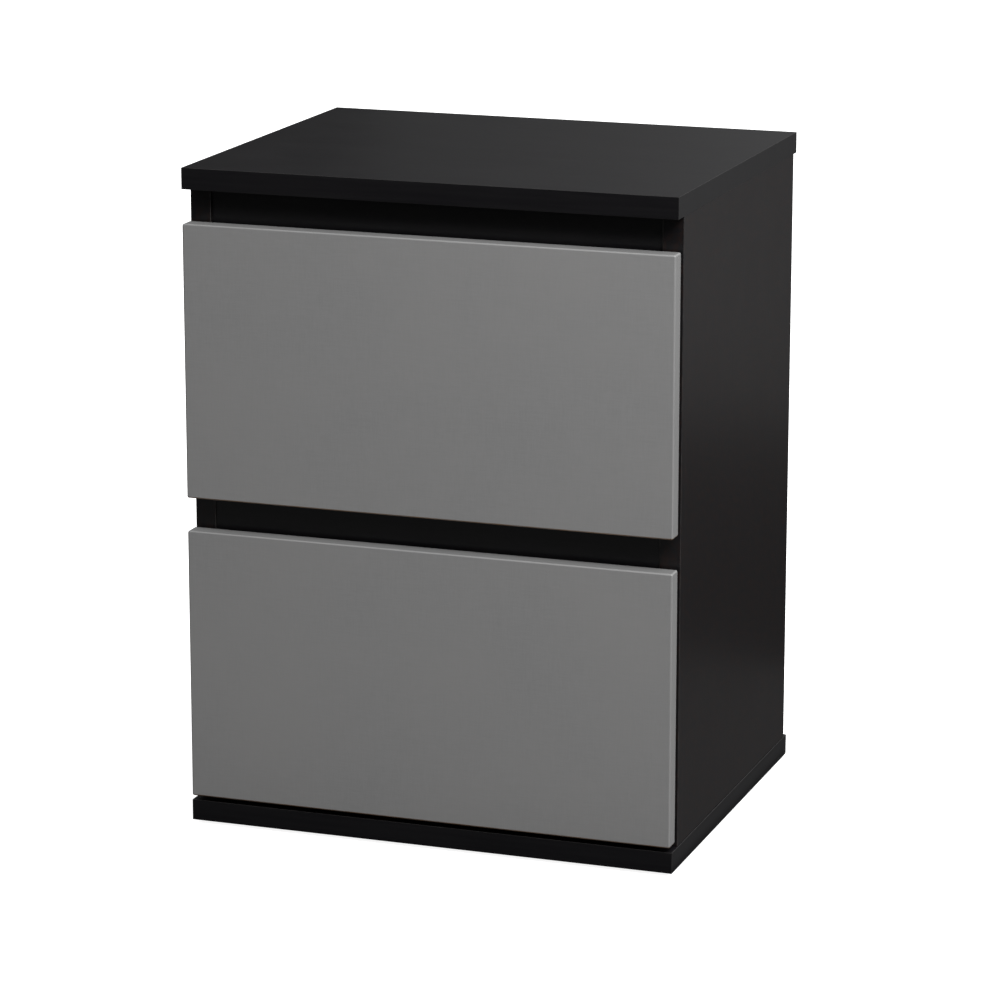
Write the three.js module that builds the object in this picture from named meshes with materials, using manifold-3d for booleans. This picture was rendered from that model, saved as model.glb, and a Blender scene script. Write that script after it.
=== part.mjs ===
// A bedside cabinet with two drawers on roller runners, in millimetres.
// +X is to the right of someone facing the drawers, +Y runs to the back and +Z runs up.
// The origin lies on the floor under the middle of the cabinet.

import * as THREE from "three";
import { mergeVertices } from "three/addons/utils/BufferGeometryUtils.js";
import Module from "manifold-3d";

const wasm = await Module();
wasm.setup();

// ---------------------------------------------------------------- carcass
const WIDTH = 380; // top and base panels
const PANEL_DEPTH = 310; // top and base panels
const BODY_HEIGHT = 500; // from the base panel's underside to the top panel's face
const BOARD = 16; // laminated chipboard of the carcass
const SIDE_REVEAL = 0.5; // how far each side panel stands in from the panels' ends
const SIDE_SETBACK = 15.2; // side panels' front edges behind the top panel's
const BACK_RECESS = 6; // side panels' back edges ahead of the top panel's
const BACK_SHEET = 3; // hardboard back
const BACK_INSET = 2; // hardboard's edges from the side panels' outer faces
const BACK_PLAY = 0.5; // above and below the hardboard
const RAIL_HEIGHT = 44;
const TOP_RAIL_RECESS = 2.5; // behind the side panels' front edges
const MIDDLE_RAIL_RECESS = 1;
const GLIDE = { radius: 10, height: 3, rim: 1, inset: 30, nailRadius: 1, nailLength: 11 };
const SCREW = { headRadius: 5, headHeight: 2, radius: 3, length: 48, socket: 2, socketDepth: 2.5 };

// ---------------------------------------------------------------- drawers
const FRONT_WIDTH = 377.8;
const FRONT_HEIGHT = 207;
const FRONT_BOARD = 13.4; // foil-wrapped fibreboard
const FRONT_PROUD = 2.6; // a closed front's face ahead of the top panel's edge
const FRONT_ROUNDING = 1.2; // of its arrises
const FRONT_CORNER = 1.6; // radius of its four corners, seen from the front
const FRONT_LIFT = 4; // lower front above the base panel
const GRIP_GAP = 25; // finger gap between the two fronts
const BOX_BOARD = 12;
const BOX_HEIGHT = 150;
const BOX_LENGTH = 250; // from the front's back face to the box's back
const BOX_LIFT = 14; // box sides above the front's lower edge
const BOTTOM_SHEET = 3;
const BOTTOM_LIFT = 10; // bottom sheet above the sides' lower edges
const GROOVE_DEPTH = 6;
const PLAY = 0.25; // working gap between two pieces that fit into each other

// ---------------------------------------------------------------- cam locks
const CARCASS_CAM = { radius: 7.5, depth: 12.5, fromTop: 34, setbacks: [48, 240] };
const DRAWER_CAM = { radius: 6, depth: 9.5, setback: 24, height: 90 };

// ---------------------------------------------------------------- runners
const RUNNER_LENGTH = 250;
const RUNNER_SPACE = 12.5; // between a side panel and the drawer box
const STEEL = 1.25; // sheet of both profiles
const CHANNEL_HEIGHT = 24; // cabinet profile
const CHANNEL_DEPTH = 10.5;
const CHANNEL_SETBACK = 2; // behind the side panel's front edge
const PROFILE_HEIGHT = 25; // drawer profile
const PROFILE_SETBACK = 1; // behind the front's back face
const LEG_LIFT = 2; // drawer profile's bottom leg above the channel's underside
const FLANGE_START = 2; // flange's free edge, from the side panel
const NOTCH_LENGTH = 24; // cut in the channel's upper lip over the front roller
const ROLLER_WIDTH = 7;
const ROLLER_GAP = 1; // between a roller and the steel it is riveted to
const FRONT_ROLLER = { radius: 8.5, inset: 12 }; // axle behind the channel's front end
const REAR_ROLLER = { radius: 10.25, inset: 10 }; // axle ahead of the profile's back end
const RIVET = { radius: 2, headRadius: 3.75, head: 1 };

// ---------------------------------------------------------------- worked-out places
const FRONT_FACE_Y = -(PANEL_DEPTH + FRONT_PROUD) / 2;
const FRONT_BACK_Y = FRONT_FACE_Y + FRONT_BOARD;
const PANEL_FRONT_Y = FRONT_FACE_Y + FRONT_PROUD;
const PANEL_BACK_Y = PANEL_FRONT_Y + PANEL_DEPTH;
const SIDE_FRONT_Y = PANEL_FRONT_Y + SIDE_SETBACK;
const SIDE_BACK_Y = PANEL_BACK_Y - BACK_RECESS;
const SIDE_OUTER_X = WIDTH / 2 - SIDE_REVEAL;
const SIDE_INNER_X = SIDE_OUTER_X - BOARD;
const BASE_TOP_Z = GLIDE.height + BOARD;
const TOP_UNDER_Z = GLIDE.height + BODY_HEIGHT - BOARD;
const BOX_OUTER_X = SIDE_INNER_X - RUNNER_SPACE;
const BOX_INNER_X = BOX_OUTER_X - BOX_BOARD;
const BOX_BACK_Y = FRONT_BACK_Y + BOX_LENGTH;
const SHEET_Z = BOX_LIFT + BOTTOM_LIFT; // bottom sheet above the front's lower edge
const LOWER_FRONT_Z = BASE_TOP_Z + FRONT_LIFT;
const UPPER_FRONT_Z = LOWER_FRONT_Z + FRONT_HEIGHT + GRIP_GAP;
const CHANNEL_FRONT_Y = SIDE_FRONT_Y + CHANNEL_SETBACK;
const CHANNEL_LIFT = BOX_LIFT - LEG_LIFT - STEEL - PLAY; // channel above the front's lower edge
const FLANGE_UNDER_Z = LEG_LIFT + PROFILE_HEIGHT - STEEL; // above the channel's underside
const FRONT_AXLE_Z = FLANGE_UNDER_Z - PLAY - FRONT_ROLLER.radius;
const REAR_AXLE_Z = STEEL + PLAY + REAR_ROLLER.radius;

// ---------------------------------------------------------------- materials
const finish = (color, roughness, metalness = 0) =>
  new THREE.MeshStandardMaterial({ color, roughness, metalness });
const BLACK_FOIL = finish(0x151518, 0.42);
const GREY_FRONT = finish(0x777777, 0.5);
const BOX_FOIL = finish(0xb9b8b4, 0.55);
const HARDBOARD = finish(0x6b4a30, 0.8);
const WHITE_HARDBOARD = finish(0xd6d5d0, 0.45);
const RUNNER_STEEL = finish(0xd9d8d3, 0.4, 0.1);
const RIVET_STEEL = finish(0x9a9c9e, 0.35, 1);
const SCREW_STEEL = finish(0xb9a66a, 0.4, 1);
const ROLLER_NYLON = finish(0xe9e8e2, 0.5);
const CAM_ZINC = finish(0x8d8f92, 0.4, 1);
const GLIDE_PLASTIC = finish(0x1c1a19, 0.6);

// ---------------------------------------------------------------- helpers

// A closed three.js geometry as a manifold-3d solid.
function solidOf(geometry) {
  const bare = geometry.clone();
  bare.deleteAttribute("normal");
  bare.deleteAttribute("uv");
  const merged = mergeVertices(bare);
  return new wasm.Manifold(
    new wasm.Mesh({
      numProp: 3,
      vertProperties: new Float32Array(merged.attributes.position.array),
      triVerts: new Uint32Array(merged.index.array),
    }),
  );
}

// A manifold-3d solid as a three.js geometry.
function geometryOf(solid) {
  const mesh = solid.getMesh();
  const geometry = new THREE.BufferGeometry();
  geometry.setAttribute("position", new THREE.BufferAttribute(mesh.vertProperties, 3));
  geometry.setIndex(new THREE.BufferAttribute(mesh.triVerts, 1));
  return geometry;
}

// The geometry with every cutter taken away from it.
function cut(geometry, cutters) {
  const left = cutters.reduce((solid, cutter) => solid.subtract(solidOf(cutter)), solidOf(geometry));
  return geometryOf(left);
}

function piece(name, geometry, material, x = 0, y = 0, z = 0) {
  const mesh = new THREE.Mesh(geometry, material);
  mesh.name = name;
  mesh.position.set(x, y, z);
  return mesh;
}

// A box between two corners.
function block([x0, y0, z0], [x1, y1, z1]) {
  const box = new THREE.BoxGeometry(x1 - x0, y1 - y0, z1 - z0);
  return box.translate((x0 + x1) / 2, (y0 + y1) / 2, (z0 + z1) / 2);
}

// A square-edged board between two corners, less the cutters.
function board(name, material, low, high, cutters = []) {
  const plain = block(low, high);
  return piece(name, cutters.length ? cut(plain, cutters) : plain, material);
}

// A solid cylinder along X from x0 to x1.
function barAlongX(radius, x0, x1, y, z, sides = 24) {
  const bar = new THREE.CylinderGeometry(radius, radius, x1 - x0, sides);
  return bar.rotateZ(Math.PI / 2).translate((x0 + x1) / 2, y, z);
}

// A solid of revolution about Z through (x, y), from [radius, z] points in rising order.
function turnedAboutZ(points, x, y, sides = 24) {
  const profile = points.map(([radius, z]) => new THREE.Vector2(radius, z));
  return new THREE.LatheGeometry(profile, sides).rotateX(Math.PI / 2).translate(x, y, 0);
}

// A solid of revolution about X, from [x, radius] points whose outer side runs towards +X.
function turnedAboutX(points, sides = 24) {
  const profile = points.map(([x, radius]) => new THREE.Vector2(radius, x));
  return new THREE.LatheGeometry(profile, sides).rotateZ(-Math.PI / 2);
}

// A section in X and Z drawn out along Y from frontY to backY.
function drawnAlongY(outline, frontY, backY) {
  const section = new THREE.Shape(outline.map(([x, z]) => new THREE.Vector2(x, z)));
  const bar = new THREE.ExtrudeGeometry(section, { depth: backY - frontY, bevelEnabled: false });
  return bar.rotateX(Math.PI / 2).translate(0, backY, 0);
}

// ---------------------------------------------------------------- carcass pieces

// Where the cam locks and the base screws hold a side panel, along Y.
const fixingRows = CARCASS_CAM.setbacks.map((setback) => SIDE_FRONT_Y + setback);

const glideX = WIDTH / 2 - GLIDE.inset;
const glideRows = { front: PANEL_FRONT_Y + GLIDE.inset, back: PANEL_BACK_Y - GLIDE.inset };
const screwX = SIDE_OUTER_X - BOARD / 2;

function topPanel() {
  const low = [-WIDTH / 2, PANEL_FRONT_Y, TOP_UNDER_Z];
  const high = [WIDTH / 2, PANEL_BACK_Y, TOP_UNDER_Z + BOARD];
  return board("top_panel", BLACK_FOIL, low, high);
}

function basePanel() {
  const cutters = [];
  for (const sign of [-1, 1]) {
    for (const y of Object.values(glideRows)) cutters.push(nailHole(sign * glideX, y));
    for (const y of fixingRows) cutters.push(screwHole(sign * screwX, y));
  }
  const low = [-WIDTH / 2, PANEL_FRONT_Y, GLIDE.height];
  const high = [WIDTH / 2, PANEL_BACK_Y, BASE_TOP_Z];
  return board("base_panel", BLACK_FOIL, low, high, cutters);
}

// The left side panel. The right one is its mirror image.
function sidePanel(name) {
  const cutters = fixingRows.flatMap((y) => [
    barAlongX(
      CARCASS_CAM.radius + PLAY,
      -SIDE_INNER_X - CARCASS_CAM.depth - PLAY,
      -SIDE_INNER_X + 1,
      y,
      TOP_UNDER_Z - CARCASS_CAM.fromTop,
    ),
    screwHole(-screwX, y),
  ]);
  const low = [-SIDE_OUTER_X, SIDE_FRONT_Y, BASE_TOP_Z];
  const high = [-SIDE_INNER_X, SIDE_BACK_Y, TOP_UNDER_Z];
  return board(name, BLACK_FOIL, low, high, cutters);
}

function backPanel() {
  const x = SIDE_OUTER_X - BACK_INSET;
  const low = [-x, SIDE_BACK_Y, BASE_TOP_Z + BACK_PLAY];
  const high = [x, SIDE_BACK_Y + BACK_SHEET, TOP_UNDER_Z - BACK_PLAY];
  return board("back_panel", HARDBOARD, low, high);
}

// A rail on edge between the side panels.
function rail(name, lowZ, recess) {
  const faceY = SIDE_FRONT_Y + recess;
  const low = [-SIDE_INNER_X, faceY, lowZ];
  const high = [SIDE_INNER_X, faceY + BOARD, lowZ + RAIL_HEIGHT];
  return board(name, BLACK_FOIL, low, high);
}

// ---------------------------------------------------------------- fittings of the carcass

// A cam lock whose slotted face lies in the plane x = faceX and looks towards +X.
function camLock(name, { radius, depth }, faceX, y, z) {
  const [slotDepth, halfWidth, halfLength] = [2, radius * 0.16, radius * 0.7];
  const slot = block([-slotDepth, -halfWidth, -halfLength], [1, halfWidth, halfLength]);
  return piece(name, cut(barAlongX(radius, -depth, 0, 0, 0), [slot]), CAM_ZINC, faceX, y, z);
}

// A round plastic foot that stands on the floor, with the nail that holds it.
function glide(name, x, y) {
  const { radius, height, rim, nailRadius, nailLength } = GLIDE;
  const points = [
    [0, 0],
    [radius - rim, 0],
    [radius, rim],
    [radius, height],
    [nailRadius, height],
    [nailRadius, height + nailLength - 2],
    [0, height + nailLength],
  ];
  return piece(name, turnedAboutZ(points, x, y), GLIDE_PLASTIC);
}

function nailHole(x, y) {
  const { height, nailRadius, nailLength } = GLIDE;
  const points = [
    [0, height - 1],
    [nailRadius + PLAY, height - 1],
    [nailRadius + PLAY, height + nailLength + PLAY],
    [0, height + nailLength + PLAY],
  ];
  return turnedAboutZ(points, x, y, 12);
}

// A flush socket screw up through the base panel into a side panel's lower edge.
function baseScrew(name, x, y) {
  const { headRadius, headHeight, radius, length, socket, socketDepth } = SCREW;
  const [low, tip] = [GLIDE.height, 4];
  const points = [
    [0, low],
    [headRadius, low],
    [headRadius, low + 1],
    [radius, low + 1 + headHeight],
    [radius, low + length - tip],
    [1, low + length],
    [0, low + length],
  ];
  const socketCut = new THREE.CylinderGeometry(socket, socket, socketDepth + 1, 6)
    .rotateX(Math.PI / 2)
    .translate(x, y, low + (socketDepth - 1) / 2);
  return piece(name, cut(turnedAboutZ(points, x, y, 16), [socketCut]), SCREW_STEEL);
}

function screwHole(x, y) {
  const { headRadius, headHeight, radius, length } = SCREW;
  const low = GLIDE.height;
  const points = [
    [0, low - 1],
    [headRadius + PLAY, low - 1],
    [headRadius + PLAY, low + 1],
    [radius + PLAY, low + 1 + headHeight],
    [radius + PLAY, low + length + PLAY],
    [0, low + length + PLAY],
  ];
  return turnedAboutZ(points, x, y, 16);
}

// ---------------------------------------------------------------- runner pieces
// Drawn for the left side, with x = 0 on the side panel's inner face, +X into the cabinet and
// z = 0 at the channel's underside.

// A roller with a bore and a shallow recess in each face.
function roller(name, radius, startX, y, z) {
  const [bore, hub, rim] = [RIVET.radius + PLAY, RIVET.headRadius + 0.5, radius - 1.5];
  const [recess, edge, half] = [1, 0.75, ROLLER_WIDTH / 2];
  const rightFace = [
    [half, bore],
    [half, hub],
    [half - recess, hub],
    [half - recess, rim],
    [half, rim],
    [half, radius - edge],
    [half - edge, radius],
  ];
  const leftFace = rightFace.map(([x, r]) => [-x, r]).reverse();
  const outline = [...rightFace].reverse().concat([...leftFace].reverse(), [rightFace.at(-1)]);
  return piece(name, turnedAboutX(outline), ROLLER_NYLON, startX + half, y, z);
}

// A rivet that starts at startX in the steel and ends in its head at endX.
function rivet(name, startX, endX, y, z) {
  const [length, way] = [Math.abs(endX - startX), Math.sign(endX - startX)];
  const { radius, headRadius, head } = RIVET;
  const points = [
    [0, 0],
    [0, radius],
    [length - head, radius],
    [length - head, headRadius],
    [length, headRadius - 0.75],
    [length, 0],
  ];
  const pin = turnedAboutX(points, 16);
  return piece(name, way > 0 ? pin : pin.rotateZ(Math.PI), RIVET_STEEL, startX, y, z);
}

// The channel on the side panel, its front roller and the roller's rivet.
function cabinetRunner(name) {
  const backY = CHANNEL_FRONT_Y + RUNNER_LENGTH;
  const axleY = CHANNEL_FRONT_Y + FRONT_ROLLER.inset;
  const outline = [
    [0, 0],
    [CHANNEL_DEPTH, 0],
    [CHANNEL_DEPTH, STEEL],
    [STEEL, STEEL],
    [STEEL, CHANNEL_HEIGHT - STEEL],
    [CHANNEL_DEPTH, CHANNEL_HEIGHT - STEEL],
    [CHANNEL_DEPTH, CHANNEL_HEIGHT],
    [0, CHANNEL_HEIGHT],
  ];
  const notch = block(
    [STEEL, CHANNEL_FRONT_Y - 1, CHANNEL_HEIGHT - STEEL - 1],
    [CHANNEL_DEPTH + 1, CHANNEL_FRONT_Y + NOTCH_LENGTH, CHANNEL_HEIGHT + 1],
  );
  const rivetHole = barAlongX(RIVET.radius + PLAY, -1, STEEL + 1, axleY, FRONT_AXLE_Z, 16);
  const channel = cut(drawnAlongY(outline, CHANNEL_FRONT_Y, backY), [notch, rivetHole]);
  return [
    piece(`${name}_cabinet_runner`, channel, RUNNER_STEEL),
    roller(`${name}_front_roller`, FRONT_ROLLER.radius, STEEL + ROLLER_GAP, axleY, FRONT_AXLE_Z),
    rivet(`${name}_front_rivet`, PLAY, CHANNEL_DEPTH, axleY, FRONT_AXLE_Z),
  ];
}

// The profile under a drawer side, its rear roller and the roller's rivet.
function drawerRunner(name) {
  const axleY = BOX_BACK_Y - REAR_ROLLER.inset;
  const webOuter = RUNNER_SPACE - PLAY;
  const webInner = webOuter - STEEL;
  const legEnd = RUNNER_SPACE + BOX_BOARD;
  const [low, high] = [LEG_LIFT, LEG_LIFT + PROFILE_HEIGHT];
  const outline = [
    [webInner, low],
    [legEnd, low],
    [legEnd, low + STEEL],
    [webOuter, low + STEEL],
    [webOuter, high],
    [FLANGE_START, high],
    [FLANGE_START, high - STEEL],
    [webInner, high - STEEL],
  ];
  const hole = barAlongX(RIVET.radius + PLAY, webInner - 1, webOuter + 1, axleY, REAR_AXLE_Z, 16);
  const profile = cut(drawnAlongY(outline, FRONT_BACK_Y + PROFILE_SETBACK, BOX_BACK_Y), [hole]);
  const rollerStart = webInner - ROLLER_GAP - ROLLER_WIDTH;
  return [
    piece(`${name}_drawer_runner`, profile, RUNNER_STEEL),
    roller(`${name}_rear_roller`, REAR_ROLLER.radius, rollerStart, axleY, REAR_AXLE_Z),
    rivet(`${name}_rear_rivet`, webOuter, rollerStart - PLAY - RIVET.head, axleY, REAR_AXLE_Z),
  ];
}

// ---------------------------------------------------------------- drawer pieces
// Drawn with z = 0 at the front's lower edge.

// The slot that the bottom sheet fits into, with play all round.
function sheetGroove() {
  const x = BOX_INNER_X + GROOVE_DEPTH + PLAY;
  return block(
    [-x, FRONT_BACK_Y - GROOVE_DEPTH - PLAY, SHEET_Z - PLAY],
    [x, BOX_BACK_Y + 1, SHEET_Z + BOTTOM_SHEET + PLAY],
  );
}

// The overlay front, with rounded arrises and corners.
function drawerFront(name) {
  const r = FRONT_ROUNDING;
  const depth = FRONT_BOARD - 2 * r;
  const right = FRONT_WIDTH / 2 - FRONT_CORNER;
  const [bottom, top] = [FRONT_CORNER, FRONT_HEIGHT - FRONT_CORNER];
  const corners = [[right, bottom], [right, top], [-right, top], [-right, bottom]];
  const face = new THREE.Shape();
  corners.forEach(([x, z], i) => {
    const start = ((i - 1) * Math.PI) / 2;
    face.absarc(x, z, FRONT_CORNER - r, start, start + Math.PI / 2);
  });
  const rounding = { bevelEnabled: true, bevelThickness: r, bevelSize: r, bevelSegments: 3 };
  const slab = new THREE.ExtrudeGeometry(face, { depth, curveSegments: 3, ...rounding });
  slab.rotateX(Math.PI / 2).translate(0, FRONT_BACK_Y - r, 0);
  return piece(name, cut(slab, [sheetGroove()]), GREY_FRONT);
}

function drawerBack(name) {
  const low = [-BOX_INNER_X, BOX_BACK_Y - BOX_BOARD, SHEET_Z + BOTTOM_SHEET];
  const high = [BOX_INNER_X, BOX_BACK_Y, BOX_LIFT + BOX_HEIGHT];
  return board(name, BOX_FOIL, low, high);
}

function drawerBottom(name) {
  const x = BOX_INNER_X + GROOVE_DEPTH;
  const low = [-x, FRONT_BACK_Y - GROOVE_DEPTH, SHEET_Z];
  const high = [x, BOX_BACK_Y - PLAY, SHEET_Z + BOTTOM_SHEET];
  return board(name, WHITE_HARDBOARD, low, high);
}

// The left side of a drawer box and its cam lock. The right ones are mirror images.
function drawerSide(name) {
  const [y, z] = [FRONT_BACK_Y + DRAWER_CAM.setback, BOX_LIFT + DRAWER_CAM.height];
  const pocketDepth = DRAWER_CAM.depth + PLAY;
  const pocket = barAlongX(DRAWER_CAM.radius + PLAY, -BOX_INNER_X - pocketDepth, -BOX_INNER_X + 1, y, z);
  const low = [-BOX_OUTER_X, FRONT_BACK_Y, BOX_LIFT];
  const high = [-BOX_INNER_X, BOX_BACK_Y, BOX_LIFT + BOX_HEIGHT];
  return [
    board(`${name}_drawer_side`, BOX_FOIL, low, high, [sheetGroove(), pocket]),
    camLock(`${name}_drawer_cam`, DRAWER_CAM, -BOX_INNER_X, y, z),
  ];
}

// ---------------------------------------------------------------- assembly

// One side's pieces: as drawn on the left, mirrored on the right.
function sideGroup(side, pieces) {
  const group = new THREE.Group();
  group.scale.x = side === "left" ? 1 : -1;
  return group.add(...pieces);
}

function carcass() {
  const group = new THREE.Group();
  group.add(topPanel(), basePanel(), backPanel());
  group.add(rail("top_rail", TOP_UNDER_Z - RAIL_HEIGHT, TOP_RAIL_RECESS));
  group.add(rail("middle_rail", UPPER_FRONT_Z - (GRIP_GAP + RAIL_HEIGHT) / 2, MIDDLE_RAIL_RECESS));
  for (const side of ["left", "right"]) {
    const pieces = [sidePanel(`${side}_side_panel`)];
    fixingRows.forEach((y, i) => {
      const row = ["front", "back"][i];
      const camZ = TOP_UNDER_Z - CARCASS_CAM.fromTop;
      pieces.push(camLock(`${side}_${row}_cam`, CARCASS_CAM, -SIDE_INNER_X, y, camZ));
      pieces.push(baseScrew(`${side}_${row}_screw`, -screwX, y));
      pieces.push(glide(`${side}_${row}_glide`, -glideX, glideRows[row]));
    });
    group.add(sideGroup(side, pieces));
  }
  return group;
}

function drawerBay(level, frontZ) {
  const group = new THREE.Group();
  group.position.z = frontZ;
  group.add(drawerFront(`${level}_drawer_front`));
  group.add(drawerBack(`${level}_drawer_back`));
  group.add(drawerBottom(`${level}_drawer_bottom`));
  for (const side of ["left", "right"]) {
    const name = `${level}_${side}`;
    const runners = new THREE.Group();
    runners.position.set(-SIDE_INNER_X, 0, CHANNEL_LIFT);
    runners.add(...cabinetRunner(name), ...drawerRunner(name));
    group.add(sideGroup(side, [...drawerSide(name), runners]));
  }
  return group;
}

const cabinet = new THREE.Group();
cabinet.add(carcass(), drawerBay("upper", UPPER_FRONT_Z), drawerBay("lower", LOWER_FRONT_Z));

export default cabinet;
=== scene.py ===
"""The looks of a bedside cabinet with two drawers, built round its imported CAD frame.

Metres, +Z up, the drawers open towards -Y. Every place is worked out from the frame's boxes.
"""

import math

import bmesh
import bpy
from mathutils import Matrix, Vector


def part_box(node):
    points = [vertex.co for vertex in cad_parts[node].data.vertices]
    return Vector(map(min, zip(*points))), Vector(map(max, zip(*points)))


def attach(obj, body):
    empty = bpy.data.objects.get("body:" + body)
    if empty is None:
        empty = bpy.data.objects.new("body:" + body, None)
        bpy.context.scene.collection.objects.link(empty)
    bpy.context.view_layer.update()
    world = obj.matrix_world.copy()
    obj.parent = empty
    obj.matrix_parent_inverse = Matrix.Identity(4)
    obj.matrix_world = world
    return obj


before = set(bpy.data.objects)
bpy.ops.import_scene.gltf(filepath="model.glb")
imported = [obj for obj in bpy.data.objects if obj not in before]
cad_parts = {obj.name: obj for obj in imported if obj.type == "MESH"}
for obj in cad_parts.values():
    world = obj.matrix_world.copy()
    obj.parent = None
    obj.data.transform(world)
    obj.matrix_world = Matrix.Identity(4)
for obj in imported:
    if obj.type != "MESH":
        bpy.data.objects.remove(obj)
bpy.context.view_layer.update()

MM = 0.001
LEVELS = ("upper", "lower")
SIDES = ("left", "right")


# ---------------------------------------------------------------- node helpers


class Surface:
    """A procedural material, built up node by node on the object's own coordinates."""

    def __init__(self, name):
        self.material = bpy.data.materials.new(name)
        self.material.use_nodes = True
        self.tree = self.material.node_tree
        self.shader = self.tree.nodes["Principled BSDF"]
        self.place = self.add("TexCoord").outputs["Object"]

    def add(self, kind, inputs=None, **settings):
        """A new node. Each input is a constant or another node's output."""
        node = self.tree.nodes.new("ShaderNode" + kind)
        for name, value in settings.items():
            setattr(node, name, value)
        for name, value in (inputs or {}).items():
            self.feed(node.inputs[name], value)
        return node

    def feed(self, socket, value):
        if isinstance(value, bpy.types.NodeSocket):
            self.tree.links.new(value, socket)
        else:
            socket.default_value = value

    def set(self, **inputs):
        """Feeds the shader's sockets, named with _ for a space."""
        for name, value in inputs.items():
            socket = name.replace("_", " ").title().replace("Ior", "IOR")
            self.feed(self.shader.inputs[socket], value)

    def noise(self, size, stretch=(1, 1, 1), detail=3, roughness=0.55):
        """Noise from 0 to 1 with features of that size in metres, longer along stretched axes."""
        scaled = [1 / (size * s) for s in stretch]
        moved = self.add("Mapping", {"Vector": self.place, "Scale": scaled}).outputs[0]
        inputs = {"Vector": moved, "Scale": 1.0, "Detail": detail, "Roughness": roughness}
        return self.add("TexNoise", inputs).outputs["Fac"]

    def remap(self, value, low, high, to_low=0.0, to_high=1.0, smooth=False):
        kind = "SMOOTHSTEP" if smooth else "LINEAR"
        inputs = {"Value": value, "From Min": low, "From Max": high, "To Min": to_low, "To Max": to_high}
        return self.add("MapRange", inputs, interpolation_type=kind).outputs[0]

    def maths(self, operation, a, b=0.0):
        node = self.add("Math", operation=operation)
        self.feed(node.inputs[0], a)
        self.feed(node.inputs[1], b)
        return node.outputs[0]

    def mix(self, amount, a, b):
        """Colour a, or colour b where amount is 1."""
        node = self.add("Mix", data_type="RGBA")
        colours = [socket for socket in node.inputs if socket.type == "RGBA"]
        self.feed(node.inputs[0], amount)
        self.feed(colours[0], a)
        self.feed(colours[1], b)
        return [socket for socket in node.outputs if socket.type == "RGBA"][0]

    def arris(self, radius):
        """1 along the outer edges within that radius, 0 on the flats."""
        rounded = self.add("Bevel", {"Radius": radius}, samples=6).outputs[0]
        flat = self.add("NewGeometry").outputs["True Normal"]
        dot = self.add("VectorMath", operation="DOT_PRODUCT")
        self.feed(dot.inputs[0], rounded)
        self.feed(dot.inputs[1], flat)
        return self.remap(dot.outputs["Value"], 1.0, 0.8)

    def rounding(self):
        """1 on rounded arrises, whose surface faces between the axes, 0 on the flats."""
        normal = self.add("TexCoord").outputs["Normal"]
        parts = self.add("SeparateXYZ", {"Vector": normal}).outputs
        x, y, z = [self.maths("ABSOLUTE", part) for part in parts]
        return self.remap(self.maths("MAXIMUM", self.maths("MAXIMUM", x, y), z), 0.99, 0.88)

    def facing(self, axis, sign):
        """1 where the surface faces that way along a row axis, else 0."""
        normal = self.add("TexCoord").outputs["Normal"]
        parts = self.add("SeparateXYZ", {"Vector": normal})
        return self.remap(self.maths("MULTIPLY", parts.outputs[axis], sign), 0.4, 0.6)

    def bump(self, height, distance, strength=1.0):
        inputs = {"Height": height, "Distance": distance, "Strength": strength}
        self.set(normal=self.add("Bump", inputs).outputs[0])


def grey(value, warmth=0.0):
    """A grey of that linear value, with red above and blue below it by the warmth."""
    return (value * (1 + warmth), value, value * (1 - warmth), 1)


# ---------------------------------------------------------------- materials


def black_laminate(name, along, mottle=0.0):
    """Satin black melamine, mottled with brown. Its fine wood pore runs along axis 0, 1 or 2."""
    s = Surface(name)
    stretch = [1, 1, 1]
    stretch[along] = 30
    pore = s.noise(0.6 * MM, stretch, detail=3)
    streak = s.noise(3 * MM, stretch, detail=4)
    cloud = s.noise(45 * MM, detail=3)
    fleck = s.noise(1.6 * MM, detail=2)
    dust = s.remap(fleck, 0.72, 0.78, 0, 0.5)
    body = s.mix(s.remap(streak, 0.35, 0.7), (0.0034, 0.0031, 0.0039, 1), (0.005, 0.0047, 0.0054, 1))
    blotch = s.remap(s.noise(5 * MM, detail=6, roughness=0.7), 0.45, 0.65, 0, mottle)
    dusty = s.mix(dust, s.mix(blotch, body, (0.012, 0.0055, 0.004, 1)), grey(0.02, 0.05))
    # Lighter arrises: part edge wear, part painted highlight along the rounded edges.
    worn = s.maths("MULTIPLY", s.rounding(), s.remap(s.noise(7 * MM, detail=5), 0.35, 0.7, 0.25, 1))
    s.set(base_color=s.mix(worn, dusty, grey(0.04, 0.05)))
    uneven = s.maths("ADD", cloud, s.maths("MULTIPLY", streak, 0.5))
    s.set(roughness=s.remap(uneven, 0.55, 0.95, 0.315, 0.34))
    s.bump(s.maths("ADD", pore, s.maths("MULTIPLY", streak, 0.6)), 0.045 * MM, 0.6)
    return s.material


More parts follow.
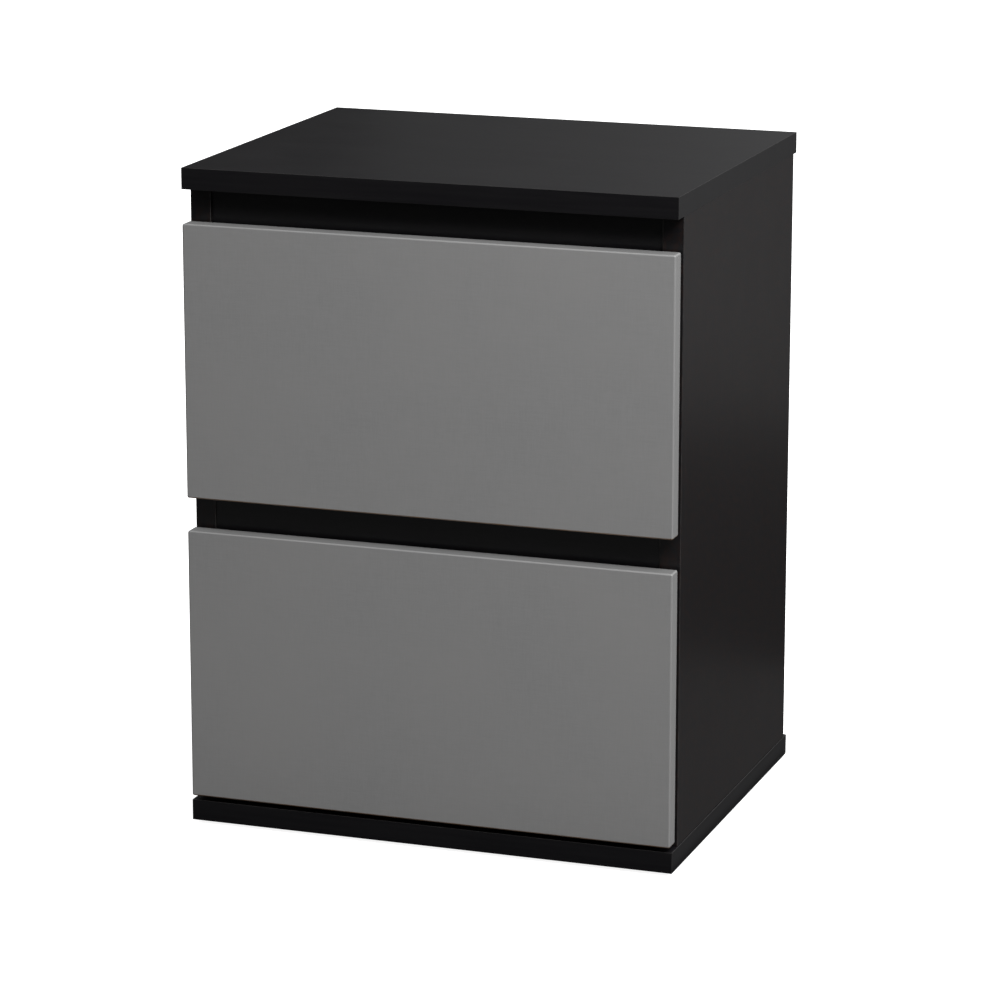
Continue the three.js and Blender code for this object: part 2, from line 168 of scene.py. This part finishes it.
def grey_foil():
    """Satin mid-grey foil with a fine weave, with painted shade on its top faces, brown board along its
    lower arrises.
    """
    s = Surface("grey_foil")
    warp = s.noise(0.6 * MM, (1, 1, 16), detail=3)
    weft = s.noise(0.6 * MM, (16, 1, 1), detail=3)
    weave = s.maths("ADD", warp, weft)
    cloud = s.noise(90 * MM, detail=3)
    body = s.mix(s.remap(weave, 0.75, 1.3), grey(0.18), grey(0.2))
    tone = s.mix(s.remap(cloud, 0.3, 0.7, 0, 0.6), body, grey(0.195, 0.012))
    upward = s.add("SeparateXYZ", {"Vector": s.add("TexCoord").outputs["Normal"]}).outputs["Z"]
    # Painted shade: faces that turn upward are darkened towards a dark grey, as if less light fell on
    # them.
    painted_shade_on_top = s.mix(s.remap(upward, 0.8, 0.97, 0, 0.55), tone, grey(0.1))
    rim = s.maths("MULTIPLY", s.remap(upward, -0.06, -0.35), s.remap(upward, -0.985, -0.93))
    chafed = s.remap(s.noise(14 * MM, detail=4), 0.3, 0.6, 0.45, 1)
    s.set(base_color=s.mix(s.maths("MULTIPLY", rim, chafed), painted_shade_on_top, (0.2, 0.125, 0.075, 1)))
    s.set(roughness=s.remap(s.maths("ADD", weave, cloud), 1.0, 2.0, 0.4, 0.54))
    s.bump(weave, 0.02 * MM, 0.5)
    return s.material


def box_foil():
    """Light grey paper foil of the drawer boxes, duller at the arrises."""
    s = Surface("box_foil")
    fibre = s.noise(0.8 * MM, (1, 30, 1), detail=4)
    cloud = s.noise(70 * MM, detail=2)
    body = s.mix(s.remap(fibre, 0.3, 0.7), grey(0.46, 0.03), grey(0.52, 0.03))
    worn = s.maths("MULTIPLY", s.arris(0.6 * MM), s.remap(s.noise(6 * MM), 0.4, 0.65))
    s.set(base_color=s.mix(s.maths("MULTIPLY", worn, 0.5), body, (0.3, 0.24, 0.17, 1)))
    s.set(roughness=s.remap(cloud, 0.3, 0.7, 0.5, 0.62))
    s.bump(fibre, 0.03 * MM, 0.5)
    return s.material


def hardboard(name, face_axis, face_sign, face_colour, face_roughness):
    """Brown hardboard, lacquered on the face that looks that way."""
    s = Surface(name)
    fibre = s.noise(1.6 * MM, detail=8, roughness=0.7)
    fleck = s.noise(5 * MM, detail=4)
    brown = s.mix(s.remap(fibre, 0.3, 0.7), (0.11, 0.05, 0.022, 1), (0.23, 0.115, 0.055, 1))
    raw = s.mix(s.remap(fleck, 0.55, 0.75, 0, 0.5), brown, (0.07, 0.032, 0.015, 1))
    lacquer = s.mix(s.remap(fleck, 0.3, 0.7), face_colour, tuple(0.93 * c for c in face_colour[:3]) + (1,))
    face = s.facing(face_axis, face_sign)
    s.set(base_color=s.mix(face, raw, lacquer))
    s.set(roughness=s.remap(face, 0, 1, 0.82, face_roughness))
    s.bump(fibre, 0.12 * MM, 0.5)
    return s.material


def coated_steel():
    """White epoxy powder coat with a slight orange peel, worn to steel on the arrises."""
    s = Surface("coated_steel")
    peel = s.noise(1.2 * MM, detail=2)
    wear = s.maths("MULTIPLY", s.arris(0.4 * MM), s.remap(s.noise(8 * MM, detail=5), 0.5, 0.7))
    body = s.mix(s.remap(peel, 0.3, 0.7), grey(0.68, 0.02), grey(0.74, 0.02))
    s.set(base_color=s.mix(s.maths("MULTIPLY", wear, 0.6), body, grey(0.3)))
    s.set(roughness=s.remap(peel, 0.3, 0.7, 0.32, 0.42))
    s.bump(peel, 0.04 * MM, 0.5)
    return s.material


def metal(name, colour, rough):
    """Bare or plated metal with fine turning marks and duller patches."""
    s = Surface(name)
    fine = s.noise(0.25 * MM, (6, 1, 1), detail=4)
    patch = s.noise(2.5 * MM, detail=4)
    dull = tuple(0.72 * c for c in colour) + (1,)
    s.set(base_color=s.mix(s.remap(patch, 0.35, 0.7), colour + (1,), dull))
    s.set(metallic=1.0, roughness=s.remap(s.maths("ADD", fine, patch), 0.6, 1.4, rough, rough + 0.2))
    s.bump(fine, 0.01 * MM, 0.6)
    return s.material


def plastic(name, colour, rough):
    """Moulded plastic with a fine spark-eroded texture and slightly scuffed arrises."""
    s = Surface(name)
    grit = s.noise(0.3 * MM, detail=3)
    patch = s.noise(4 * MM, detail=3)
    scuff = s.maths("MULTIPLY", s.arris(0.4 * MM), s.remap(patch, 0.4, 0.65, 0, 0.4))
    paler = tuple(min(1.0, c * 0.8 + 0.05) for c in colour) + (1,)
    duller = tuple(0.93 * c for c in colour) + (1,)
    body = s.mix(s.remap(patch, 0.3, 0.7), colour + (1,), duller)
    s.set(base_color=s.mix(scuff, body, paler))
    s.set(roughness=s.remap(grit, 0.3, 0.7, rough, rough + 0.12))
    s.bump(grit, 0.02 * MM, 0.5)
    return s.material


BLACK_ALONG_X = black_laminate("black_laminate_long", 0)
BLACK_ALONG_Z = black_laminate("black_laminate_upright", 2, mottle=0.7)
WHITE_LACQUER = (0.66, 0.65, 0.61, 1)
BLACK_LACQUER = (0.012, 0.012, 0.012, 1)

FINISHES = {
    "top_panel": BLACK_ALONG_X,
    "base_panel": BLACK_ALONG_X,
    "rail": BLACK_ALONG_X,
    "side_panel": BLACK_ALONG_Z,
    "back_panel": hardboard("back_hardboard", "Y", -1, BLACK_LACQUER, 0.5),
    "drawer_front": grey_foil(),
    "drawer_back": box_foil(),
    "drawer_bottom": hardboard("bottom_hardboard", "Z", 1, WHITE_LACQUER, 0.4),
    "runner": coated_steel(),
    "roller": plastic("white_nylon", (0.76, 0.75, 0.7), 0.42),
    "glide": plastic("black_polyethylene", (0.02, 0.02, 0.02), 0.5),
    "rivet": metal("bright_steel", (0.56, 0.56, 0.55), 0.22),
    "screw": metal("passivated_steel", (0.62, 0.5, 0.24), 0.28),
    "cam": metal("zinc_casting", (0.42, 0.42, 0.43), 0.36),
}
FINISHES["drawer_side"] = FINISHES["drawer_back"]

SMOOTH_BELOW = 32  # degrees between two faces
WELD_REACH = 0.01 * MM

# How far the arrises of each kind of piece are rounded.
ROUNDINGS = {
    "top_panel": 0.15 * MM,
    "base_panel": 0.25 * MM,
    "back_panel": 0.2 * MM,
    "side_panel": 0.6 * MM,
    "rail": 0.3 * MM,
    "drawer_side": 0.6 * MM,
    "drawer_back": 0.6 * MM,
    "drawer_bottom": 0.2 * MM,
    "runner": 0.25 * MM,
    "cam": 0.3 * MM,
    "screw": 0.15 * MM,
}


def ending(table, name):
    """The table's entry whose key is the longest that the node's name ends with."""
    keys = [key for key in table if name.endswith(key)]
    return table[max(keys, key=len)] if keys else None


def smooth_shading():
    """A node group that shades smooth, except across edges sharper than its angle."""
    group = bpy.data.node_groups.new("smooth_shading", "GeometryNodeTree")
    group.interface.new_socket("Geometry", in_out="INPUT", socket_type="NodeSocketGeometry")
    group.interface.new_socket("Geometry", in_out="OUTPUT", socket_type="NodeSocketGeometry")
    start = group.nodes.new("NodeGroupInput").outputs[0]
    bare = group.nodes.new("GeometryNodeRemoveAttribute")
    bare.inputs["Name"].default_value = "custom_normal"
    faces = group.nodes.new("GeometryNodeSetShadeSmooth")
    edges = group.nodes.new("GeometryNodeSetShadeSmooth")
    edges.domain = "EDGE"
    angle = group.nodes.new("GeometryNodeInputMeshEdgeAngle")
    blunt = group.nodes.new("FunctionNodeCompare")
    blunt.operation = "LESS_THAN"
    blunt.inputs["B"].default_value = math.radians(SMOOTH_BELOW)
    end = group.nodes.new("NodeGroupOutput")
    group.links.new(start, bare.inputs["Geometry"])
    group.links.new(bare.outputs["Geometry"], faces.inputs["Geometry"])
    group.links.new(faces.outputs["Geometry"], edges.inputs["Geometry"])
    group.links.new(angle.outputs["Unsigned Angle"], blunt.inputs["A"])
    group.links.new(blunt.outputs["Result"], edges.inputs["Shade Smooth"])
    group.links.new(edges.outputs["Geometry"], end.inputs[0])
    return group


SMOOTH_SHADING = smooth_shading()


def round_off(piece, width):
    """Rounds a piece's arrises and shades its curved faces smooth."""
    weld = piece.modifiers.new("weld", "WELD")
    weld.merge_threshold = WELD_REACH
    if width:
        bevel = piece.modifiers.new("arris", "BEVEL")
        bevel.width = width
        bevel.segments = 3
        bevel.limit_method = "ANGLE"
        bevel.angle_limit = math.radians(SMOOTH_BELOW)
    piece.modifiers.new("smooth", "NODES").node_group = SMOOTH_SHADING
    flats = piece.modifiers.new("flat_faces", "WEIGHTED_NORMAL")
    flats.weight = 100
    flats.keep_sharp = True


def dress(node_name, node):
    """Gives a CAD node its material and rounded arrises."""
    node.data.materials.clear()
    node.data.materials.append(ending(FINISHES, node_name))
    round_off(node, ending(ROUNDINGS, node_name))


for node_name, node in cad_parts.items():
    dress(node_name, node)


# ---------------------------------------------------------------- nails and screws

NAIL_RADIUS, NAIL_HEAD = 3 * MM, 0.6 * MM
NAIL_MARGIN = 22 * MM  # first and last nail from the sheet's ends
NAILS_A_SIDE = 6
SCREW_RADIUS, SCREW_HEAD = 3.4 * MM, 1.1 * MM
RECESS_REACH, RECESS_WIDTH = 2 * MM, 0.7 * MM  # from the middle to an arm's end, and across an arm
RECESS_BOTTOM, RECESS_TOP = 0.3 * MM, 1.5 * MM  # above the screw's seat, the top clear of the head
RECESS_TAPER = 0.7
TURN_STEP = math.radians(37)  # from one head to the next
CHANNEL_SCREWS = (0.2, 0.55, 0.9)  # along the cabinet runner
PROFILE_SCREWS = (0.08, 0.5, 0.8)  # along the drawer runner
STEEL_SHEET = 1.25 * MM


def link(made):
    """Puts an object into the scene."""
    bpy.context.scene.collection.objects.link(made)
    return made


def domed_head(radius, height, segments=24, rings=5):
    """A closed domed head on the plane z = 0, as a bmesh."""
    bm = bmesh.new()
    rows = []
    for ring in range(rings):
        lift = ring / rings * math.pi / 2
        reach, z = radius * math.cos(lift), height * math.sin(lift)
        turns = [2 * math.pi * i / segments for i in range(segments)]
        rows.append([bm.verts.new((reach * math.cos(t), reach * math.sin(t), z)) for t in turns])
    pole = bm.verts.new((0, 0, height))
    for i in range(segments):
        j = (i + 1) % segments
        for lower, upper in zip(rows, rows[1:]):
            bm.faces.new((lower[i], lower[j], upper[j], upper[i]))
        bm.faces.new((rows[-1][i], rows[-1][j], pole))
    bm.faces.new(list(reversed(rows[0])))
    return bm


def cross_cutter(reach, width, bottom, top):
    """Two crossed bars that cut a cross recess, narrower towards the bottom, as a bmesh."""
    bm = bmesh.new()
    for turn in (0, math.pi / 2):
        size = Matrix.Diagonal((2 * reach, width, top - bottom, 1))
        place = Matrix.Translation((0, 0, (bottom + top) / 2)) @ Matrix.Rotation(turn, 4, "Z")
        bmesh.ops.create_cube(bm, size=1, matrix=place @ size)
    for vert in bm.verts:
        if vert.co.z < (bottom + top) / 2:
            vert.co.x *= RECESS_TAPER
            vert.co.y *= RECESS_TAPER
    return bm


def as_object(name, bm):
    """The form as an object in the scene."""
    mesh = bpy.data.meshes.new(name)
    bm.to_mesh(mesh)
    bm.free()
    return link(bpy.data.objects.new(name, mesh))


def recessed(bm, cutter_bm):
    """The first form less the second, as a mesh."""
    head, cutter = as_object("head", bm), as_object("cutter", cutter_bm)
    cut = head.modifiers.new("recess", "BOOLEAN")
    cut.object, cut.solver, cut.use_self = cutter, "EXACT", True
    evaluated = head.evaluated_get(bpy.context.evaluated_depsgraph_get())
    mesh = bpy.data.meshes.new_from_object(evaluated)
    for spent in (head, cutter):
        spare = spent.data
        bpy.data.objects.remove(spent)
        bpy.data.meshes.remove(spare)
    return mesh


def plain(bm):
    """The form as a mesh."""
    mesh = bpy.data.meshes.new("head")
    bm.to_mesh(mesh)
    bm.free()
    return mesh


def fasteners(name, body, material, head, outward, places):
    """Copies of a head at each place, facing outward, each turned a little further than the last."""
    bm = bmesh.new()
    facing = Vector(outward).to_track_quat("Z", "Y").to_matrix().to_4x4()
    for number, place in enumerate(places):
        copy = head.copy()
        copy.transform(Matrix.Translation(place) @ facing @ Matrix.Rotation(number * TURN_STEP, 4, "Z"))
        bm.from_mesh(copy)
        bpy.data.meshes.remove(copy)
    made = as_object(name, bm)
    made.data.materials.append(material)
    round_off(made, 0)
    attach(made, body)


def spread(low, high, count):
    """Evenly spaced values from low to high, both included."""
    return [low + (high - low) * i / (count - 1) for i in range(count)]


NAIL = plain(domed_head(NAIL_RADIUS, NAIL_HEAD))
SCREW = recessed(
    domed_head(SCREW_RADIUS, SCREW_HEAD),
    cross_cutter(RECESS_REACH, RECESS_WIDTH, RECESS_BOTTOM, RECESS_TOP))
BRIGHT, YELLOW = FINISHES["rivet"], FINISHES["screw"]


def back_nails(side):
    """Nails through the back sheet into a side panel's edge."""
    (low, high), (edge_low, edge_high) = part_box("back_panel"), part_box(f"{side}_side_panel")
    x = (edge_low[0] + edge_high[0]) / 2
    heights = spread(low[2] + NAIL_MARGIN, high[2] - NAIL_MARGIN, NAILS_A_SIDE)
    places = [(x, high[1], z) for z in heights]
    fasteners(f"{side}_back_nails", "carcass", BRIGHT, NAIL, (0, 1, 0), places)


def runner_screws(level, side):
    """Screws through the cabinet runner's web, and up through the drawer runner's leg."""
    inward = 1 if side == "left" else -1
    low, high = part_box(f"{level}_{side}_cabinet_runner")
    web_x = (low[0] if side == "left" else high[0]) + inward * STEEL_SHEET
    middle = (low[2] + high[2]) / 2
    places = [(web_x, low[1] + part * (high[1] - low[1]), middle) for part in CHANNEL_SCREWS]
    name = f"{level}_{side}_cabinet_runner_screws"
    fasteners(name, "carcass", YELLOW, SCREW, (inward, 0, 0), places)

    low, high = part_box(f"{level}_{side}_drawer_runner")
    side_low, side_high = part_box(f"{level}_{side}_drawer_side")
    x = (side_low[0] + side_high[0]) / 2
    places = [(x, low[1] + part * (high[1] - low[1]), low[2]) for part in PROFILE_SCREWS]
    name = f"{level}_{side}_drawer_runner_screws"
    fasteners(name, f"{level}_drawer", YELLOW, SCREW, (0, 0, -1), places)


for side in SIDES:
    back_nails(side)
    for level in LEVELS:
        runner_screws(level, side)


# ---------------------------------------------------------------- stage, lights and camera

FLOOR_REACH = 30
FLOOR_GLOW = 0.9
MIDDLE = (0, 0, 0.25)  # of the cabinet, nearly
LENS = 151.45  # mm, on a sensor 36 mm wide
CAMERA_PLACE = (1.0273, -2.9150, 1.0052)
CAMERA_DROP, CAMERA_TURN = 13.97, 19.43  # degrees below level, and to the left of +Y


def floor():
    """The pale floor. Only the camera sees it, so that it doesn't whiten the black laminate."""
    s = Surface("pale_floor")
    tone = s.mix(s.remap(s.noise(0.4, detail=2), 0.3, 0.7), grey(0.84), grey(0.87))
    s.set(base_color=tone, roughness=0.95, specular_ior_level=0.1)
    s.set(emission_color=grey(1.0), emission_strength=FLOOR_GLOW)
    mesh = bpy.data.meshes.new("floor")
    corners = [(FLOOR_REACH * x, FLOOR_REACH * y, 0) for x, y in ((-1, -1), (1, -1), (1, 1), (-1, 1))]
    mesh.from_pydata(corners, [], [(0, 1, 2, 3)])
    mesh.materials.append(s.material)
    made = link(bpy.data.objects.new("floor", mesh))
    made.visible_glossy = False
    made.visible_diffuse = False
    made.visible_shadow = False


def soft_light(name, place, target, power, width, height=None):
    """An area light at a place, aimed at the target, that the camera doesn't see."""
    data = bpy.data.lights.new(name, "AREA")
    data.shape = "RECTANGLE"
    data.size = width
    data.size_y = height or width
    data.energy = power
    lamp = link(bpy.data.objects.new(name, data))
    lamp.location = place
    lamp.rotation_euler = (Vector(target) - Vector(place)).to_track_quat("-Z", "Y").to_euler()
    lamp.visible_camera = False


def studio_surround(base, glows):
    """The surround: a dim grey, with soft glows of (azimuth, elevation, inner, outer, strength).

    Azimuth 0 is behind the cabinet and grows to the right. Angles are in degrees.
    """
    made = bpy.data.worlds.new("studio")
    made.use_nodes = True
    tree = made.node_tree
    background = tree.nodes["Background"]
    background.inputs["Color"].default_value = grey(1.0)
    towards = tree.nodes.new("ShaderNodeTexCoord").outputs["Generated"]
    total = base
    for azimuth, elevation, inner, outer, strength in glows:
        turn, lift = math.radians(azimuth), math.radians(elevation)
        dot = tree.nodes.new("ShaderNodeVectorMath")
        dot.operation = "DOT_PRODUCT"
        tree.links.new(towards, dot.inputs[0])
        dot.inputs[1].default_value = (
            math.sin(turn) * math.cos(lift), math.cos(turn) * math.cos(lift), math.sin(lift))
        fade = tree.nodes.new("ShaderNodeMapRange")
        fade.interpolation_type = "SMOOTHSTEP"
        fade.inputs["From Min"].default_value = math.cos(math.radians(outer))
        fade.inputs["From Max"].default_value = math.cos(math.radians(inner))
        fade.inputs["To Max"].default_value = strength
        tree.links.new(dot.outputs["Value"], fade.inputs["Value"])
        add = tree.nodes.new("ShaderNodeMath")
        tree.links.new(fade.outputs[0], add.inputs[0])
        if isinstance(total, float):
            add.inputs[1].default_value = total
        else:
            tree.links.new(total, add.inputs[1])
        total = add.outputs[0]
    tree.links.new(total, background.inputs["Strength"])
    bpy.context.scene.world = made


def camera():
    """A long lens, from the front right and a little above."""
    data = bpy.data.cameras.new("camera")
    data.sensor_width = 36
    data.lens = LENS
    made = bpy.data.objects.new("camera", data)
    made.location = CAMERA_PLACE
    made.rotation_euler = (math.radians(90 - CAMERA_DROP), 0, math.radians(CAMERA_TURN))
    link(made)
    bpy.context.scene.camera = made


floor()
studio_surround(0.026, [
    (95, 45, 0, 60, 1.53),  # the broad light from the right
    (-100, 40, 0, 60, 0.7),  # fill from the left
    (20, 55, 0, 42, 1.0),  # fill from behind
    (0, 10, 0, 20, 0.3),  # sheen on the top
    (20, -10, 0, 15, 0.02),  # sheen low on the right side
])

# The key, high at the front right.
soft_light("key_high", (1.15, -1.1, 1.9), MIDDLE, 69.5, 1.0)

# Dim upright cards behind, for the sheen on the top, and cards on the floor beside it.
soft_light("wall_left", (-0.3, 1.3, 0.6), (-0.3, 0, 0.6), 0.098, 0.6, 1.2)
soft_light("wall_right", (0.3, 1.3, 0.6), (0.3, 0, 0.6), 0.157, 0.6, 1.2)
soft_light("wall_far_right", (0.9, 1.3, 0.6), (0.9, 0, 0.6), 0.424, 0.6, 1.2)
soft_light("bounce_right", (0.695, 0.05, 0.002), (0.695, 0.05, 1), 0.123, 1.0, 0.7)
soft_light("bounce_front", (0.0, -0.62, 0.002), (0.0, -0.62, 1), 0.604, 1.6, 0.8)
camera()
bpy.context.scene.view_settings.view_transform = "Standard"
